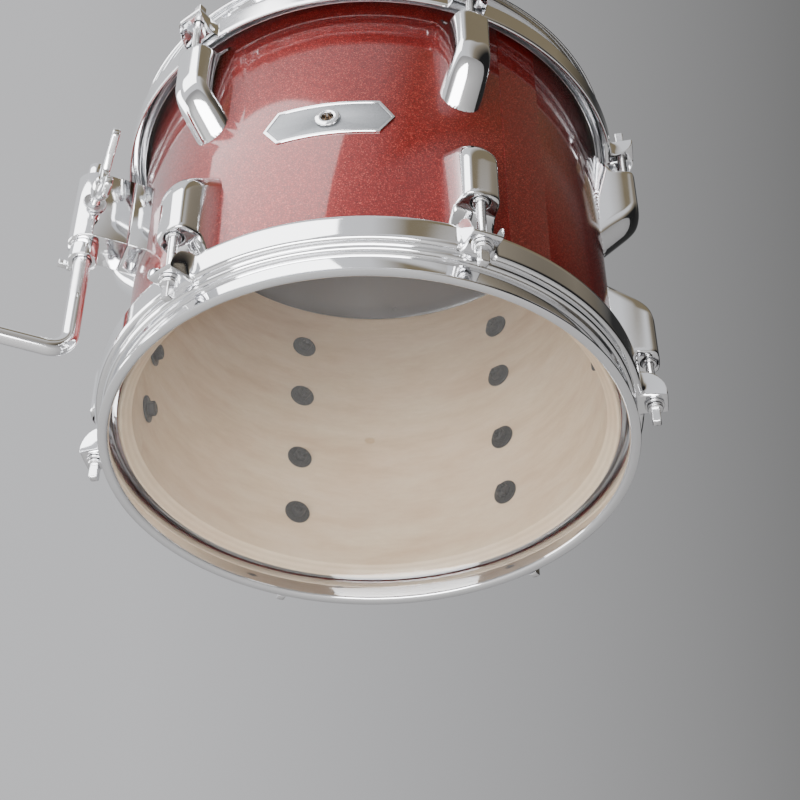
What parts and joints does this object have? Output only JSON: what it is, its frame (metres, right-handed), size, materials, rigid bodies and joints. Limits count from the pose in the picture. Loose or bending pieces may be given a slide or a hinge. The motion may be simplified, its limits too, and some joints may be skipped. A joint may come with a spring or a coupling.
{
  "type": "rack tom drum",
  "caption": "Shallow cylindrical drum with a film head at each end, triple-flanged hoops, single-ended lugs, tension rods and a side bracket on an L-shaped holder rod.",
  "frame": {"origin": "on the drum's axis, at the middle of the resonant (lower) head's outer face", "axes": "+Z along the drum's axis towards the batter head, -Y towards the badge, +X to the badge's right"},
  "size_m": [0.4319, 0.332, 0.2648],
  "materials": {
    "chrome": "polished chrome plate",
    "steel": "plain turned steel",
    "aluminium": "satin rolled channel",
    "red_sparkle_wrap": "clear gloss over fine red metallic flake",
    "maple": "satin sealed pale ply",
    "clear_film": "clear glossy film",
    "hazy_film": "hazy translucent film",
    "black_steel": "black oxide",
    "badge_plate": "grey face in a bright metal border"
  },
  "bodies": {
    "root": {"shell": "maple", "wrap": "red_sparkle_wrap", "resonant_film": "clear_film", "batter_film": "hazy_film", "resonant_flesh_hoop": "aluminium", "batter_flesh_hoop": "aluminium", "resonant_hoop": "chrome", "batter_hoop": "chrome", "resonant_lug_1": "chrome", "resonant_lug_2": "chrome", "resonant_lug_3": "chrome", "resonant_lug_4": "chrome", "resonant_lug_5": "chrome", "resonant_lug_6": "chrome", "batter_lug_1": "chrome", "batter_lug_2": "chrome", "batter_lug_3": "chrome", "batter_lug_4": "chrome", "batter_lug_5": "chrome", "batter_lug_6": "chrome", "badge": "badge_plate", "vent_grommet": "chrome", "bracket_base": "chrome", "bracket_clamp": "chrome", "bracket_bolt_1": "black_steel", "bracket_bolt_2": "black_steel"},
    "resonant_rod_washer_1": {"resonant_rod_washer_1": "chrome"},
    "resonant_rod_1": {"resonant_rod_1": "chrome"},
    "resonant_rod_washer_2": {"resonant_rod_washer_2": "chrome"},
    "resonant_rod_2": {"resonant_rod_2": "chrome"},
    "resonant_rod_washer_3": {"resonant_rod_washer_3": "chrome"},
    "resonant_rod_3": {"resonant_rod_3": "chrome"},
    "resonant_rod_washer_4": {"resonant_rod_washer_4": "chrome"},
    "resonant_rod_4": {"resonant_rod_4": "chrome"},
    "resonant_rod_washer_5": {"resonant_rod_washer_5": "chrome"},
    "resonant_rod_5": {"resonant_rod_5": "chrome"},
    "resonant_rod_washer_6": {"resonant_rod_washer_6": "chrome"},
    "resonant_rod_6": {"resonant_rod_6": "chrome"},
    "batter_rod_washer_1": {"batter_rod_washer_1": "chrome"},
    "batter_rod_1": {"batter_rod_1": "chrome"},
    "batter_rod_washer_2": {"batter_rod_washer_2": "chrome"},
    "batter_rod_2": {"batter_rod_2": "chrome"},
    "batter_rod_washer_3": {"batter_rod_washer_3": "chrome"},
    "batter_rod_3": {"batter_rod_3": "chrome"},
    "batter_rod_washer_4": {"batter_rod_washer_4": "chrome"},
    "batter_rod_4": {"batter_rod_4": "chrome"},
    "batter_rod_washer_5": {"batter_rod_washer_5": "chrome"},
    "batter_rod_5": {"batter_rod_5": "chrome"},
    "batter_rod_washer_6": {"batter_rod_washer_6": "chrome"},
    "batter_rod_6": {"batter_rod_6": "chrome"},
    "clamp_washer": {"clamp_washer": "steel"},
    "wing_screw": {"wing_screw": "chrome"},
    "memory_lock": {"memory_lock": "chrome", "memory_lock_screw": "chrome"},
    "holder_rod": {"holder_rod": "chrome"}
  },
  "joints": [
    {"name": "resonant_rod_1_travel", "type": "slide", "parent": "root", "child": "resonant_rod_washer_1", "axis": [0, 0, -1], "range_m": [0, 0.0127]},
    {"name": "resonant_rod_1_turn", "type": "hinge", "parent": "resonant_rod_washer_1", "child": "resonant_rod_1", "pos_m": [-0.08595, -0.14887, 0], "axis": [0, 0, -1], "range_deg": [0, 4320]},
    {"name": "resonant_rod_2_travel", "type": "slide", "parent": "root", "child": "resonant_rod_washer_2", "axis": [0, 0, -1], "range_m": [0, 0.0127]},
    {"name": "resonant_rod_2_turn", "type": "hinge", "parent": "resonant_rod_washer_2", "child": "resonant_rod_2", "pos_m": [0.08595, -0.14887, 0], "axis": [0, 0, -1], "range_deg": [0, 4320]},
    {"name": "resonant_rod_3_travel", "type": "slide", "parent": "root", "child": "resonant_rod_washer_3", "axis": [0, 0, -1], "range_m": [0, 0.0127]},
    {"name": "resonant_rod_3_turn", "type": "hinge", "parent": "resonant_rod_washer_3", "child": "resonant_rod_3", "pos_m": [0.1719, 0, 0], "axis": [0, 0, -1], "range_deg": [0, 4320]},
    {"name": "resonant_rod_4_travel", "type": "slide", "parent": "root", "child": "resonant_rod_washer_4", "axis": [0, 0, -1], "range_m": [0, 0.0127]},
    {"name": "resonant_rod_4_turn", "type": "hinge", "parent": "resonant_rod_washer_4", "child": "resonant_rod_4", "pos_m": [0.08595, 0.14887, 0], "axis": [0, 0, -1], "range_deg": [0, 4320]},
    {"name": "resonant_rod_5_travel", "type": "slide", "parent": "root", "child": "resonant_rod_washer_5", "axis": [0, 0, -1], "range_m": [0, 0.0127]},
    {"name": "resonant_rod_5_turn", "type": "hinge", "parent": "resonant_rod_washer_5", "child": "resonant_rod_5", "pos_m": [-0.08595, 0.14887, 0], "axis": [0, 0, -1], "range_deg": [0, 4320]},
    {"name": "resonant_rod_6_travel", "type": "slide", "parent": "root", "child": "resonant_rod_washer_6", "axis": [0, 0, -1], "range_m": [0, 0.0127]},
    {"name": "resonant_rod_6_turn", "type": "hinge", "parent": "resonant_rod_washer_6", "child": "resonant_rod_6", "pos_m": [-0.1719, 0, 0], "axis": [0, 0, -1], "range_deg": [0, 4320]},
    {"name": "batter_rod_1_travel", "type": "slide", "parent": "root", "child": "batter_rod_washer_1", "axis": [0, 0, 1], "range_m": [0, 0.0127]},
    {"name": "batter_rod_1_turn", "type": "hinge", "parent": "batter_rod_washer_1", "child": "batter_rod_1", "pos_m": [-0.08595, 0.14887, 0.2378], "axis": [0, 0, 1], "range_deg": [0, 4320]},
    {"name": "batter_rod_2_travel", "type": "slide", "parent": "root", "child": "batter_rod_washer_2", "axis": [0, 0, 1], "range_m": [0, 0.0127]},
    {"name": "batter_rod_2_turn", "type": "hinge", "parent": "batter_rod_washer_2", "child": "batter_rod_2", "pos_m": [0.08595, 0.14887, 0.2378], "axis": [0, 0, 1], "range_deg": [0, 4320]},
    {"name": "batter_rod_3_travel", "type": "slide", "parent": "root", "child": "batter_rod_washer_3", "axis": [0, 0, 1], "range_m": [0, 0.0127]},
    {"name": "batter_rod_3_turn", "type": "hinge", "parent": "batter_rod_washer_3", "child": "batter_rod_3", "pos_m": [0.1719, 0, 0.2378], "axis": [0, 0, 1], "range_deg": [0, 4320]},
    {"name": "batter_rod_4_travel", "type": "slide", "parent": "root", "child": "batter_rod_washer_4", "axis": [0, 0, 1], "range_m": [0, 0.0127]},
    {"name": "batter_rod_4_turn", "type": "hinge", "parent": "batter_rod_washer_4", "child": "batter_rod_4", "pos_m": [0.08595, -0.14887, 0.2378], "axis": [0, 0, 1], "range_deg": [0, 4320]},
    {"name": "batter_rod_5_travel", "type": "slide", "parent": "root", "child": "batter_rod_washer_5", "axis": [0, 0, 1], "range_m": [0, 0.0127]},
    {"name": "batter_rod_5_turn", "type": "hinge", "parent": "batter_rod_washer_5", "child": "batter_rod_5", "pos_m": [-0.08595, -0.14887, 0.2378], "axis": [0, 0, 1], "range_deg": [0, 4320]},
    {"name": "batter_rod_6_travel", "type": "slide", "parent": "root", "child": "batter_rod_washer_6", "axis": [0, 0, 1], "range_m": [0, 0.0127]},
    {"name": "batter_rod_6_turn", "type": "hinge", "parent": "batter_rod_washer_6", "child": "batter_rod_6", "pos_m": [-0.1719, 0, 0.2378], "axis": [0, 0, 1], "range_deg": [0, 4320]},
    {"name": "wing_screw_travel", "type": "slide", "parent": "root", "child": "clamp_washer", "axis": [0.5225, -0.8526, 0], "range_m": [0, 0.003]},
    {"name": "wing_screw_turn", "type": "hinge", "parent": "clamp_washer", "child": "wing_screw", "pos_m": [-0.15979, -0.09792, 0.119], "axis": [0.5225, -0.8526, 0], "range_deg": [0, 1080]},
    {"name": "holder_height", "type": "slide", "parent": "root", "child": "memory_lock", "axis": [0, 0, 1], "range_m": [-0.04, 0]},
    {"name": "holder_swivel", "type": "hinge", "parent": "memory_lock", "child": "holder_rod", "pos_m": [-0.15979, -0.09792, 0.08], "axis": [0, 0, 1], "range_deg": [-90, 90]}
  ],
  "couplings": [
    {"joint": "resonant_rod_1_turn", "follows": "resonant_rod_1_travel", "rad_per_m": 5936.8},
    {"joint": "resonant_rod_2_turn", "follows": "resonant_rod_2_travel", "rad_per_m": 5936.8},
    {"joint": "resonant_rod_3_turn", "follows": "resonant_rod_3_travel", "rad_per_m": 5936.8},
    {"joint": "resonant_rod_4_turn", "follows": "resonant_rod_4_travel", "rad_per_m": 5936.8},
    {"joint": "resonant_rod_5_turn", "follows": "resonant_rod_5_travel", "rad_per_m": 5936.8},
    {"joint": "resonant_rod_6_turn", "follows": "resonant_rod_6_travel", "rad_per_m": 5936.8},
    {"joint": "batter_rod_1_turn", "follows": "batter_rod_1_travel", "rad_per_m": 5936.8},
    {"joint": "batter_rod_2_turn", "follows": "batter_rod_2_travel", "rad_per_m": 5936.8},
    {"joint": "batter_rod_3_turn", "follows": "batter_rod_3_travel", "rad_per_m": 5936.8},
    {"joint": "batter_rod_4_turn", "follows": "batter_rod_4_travel", "rad_per_m": 5936.8},
    {"joint": "batter_rod_5_turn", "follows": "batter_rod_5_travel", "rad_per_m": 5936.8},
    {"joint": "batter_rod_6_turn", "follows": "batter_rod_6_travel", "rad_per_m": 5936.8},
    {"joint": "wing_screw_turn", "follows": "wing_screw_travel", "rad_per_m": 6283.1}
  ]
}
